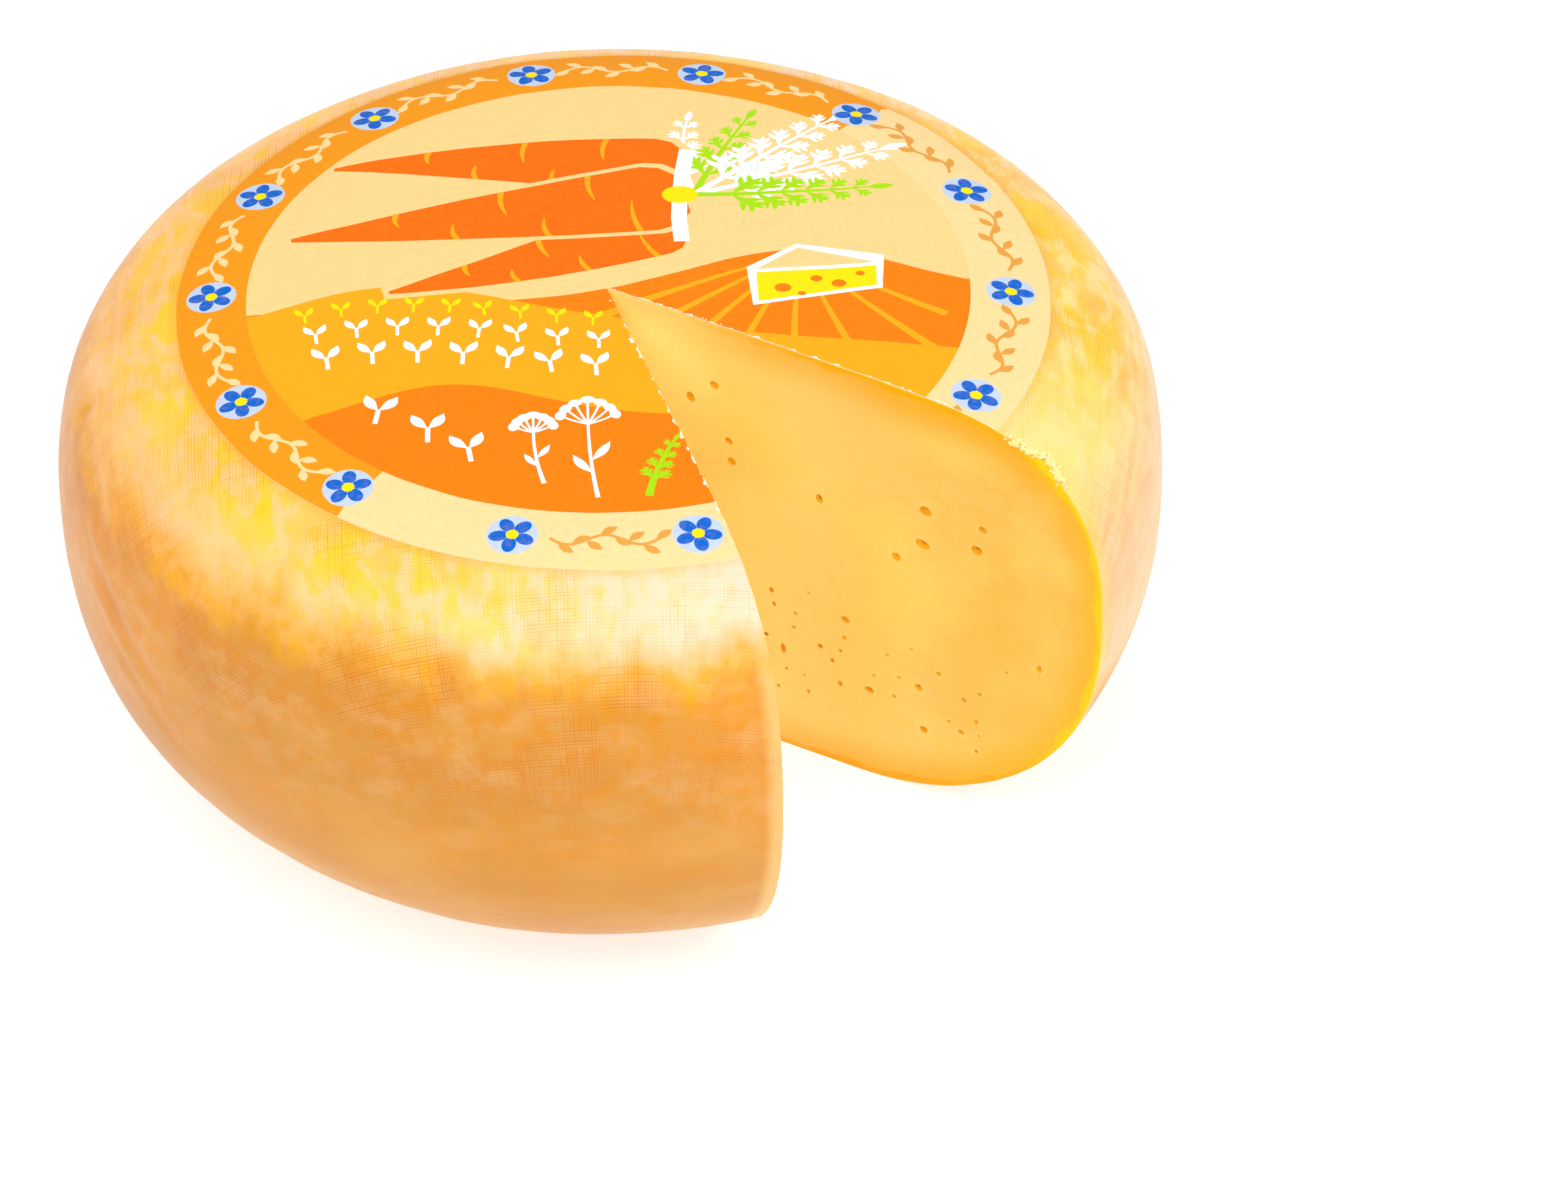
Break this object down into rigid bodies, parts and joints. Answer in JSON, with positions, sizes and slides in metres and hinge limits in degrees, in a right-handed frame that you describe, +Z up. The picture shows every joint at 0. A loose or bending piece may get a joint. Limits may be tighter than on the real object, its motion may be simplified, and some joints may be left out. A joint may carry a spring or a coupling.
{
  "type": "carrot gouda cheese wheel with a wedge cut out",
  "caption": "Thick round wheel of orange gouda with bulging coated sides, a round paper label on its top, and a wedge cut out that shows the smooth paste and its small eyes.",
  "frame": {"origin": "on the wheel's axis, at the level of the flat foot that it stands on", "axes": "+Z up along the wheel's axis, towards the label; the wedge is missing between +X and -Y, from 31 to 74 degrees below +X"},
  "size_m": [0.24, 0.24, 0.1101],
  "materials": {
    "cheese": "satin cheese paste where it is cut, and a clear glossy coating over the yellow and orange rind",
    "label_paper": "printed paper under the same thin clear coating, in orange, peach, yellow and white"
  },
  "bodies": {
    "root": {"cheese": "cheese", "label": "label_paper"}
  },
  "joints": []
}
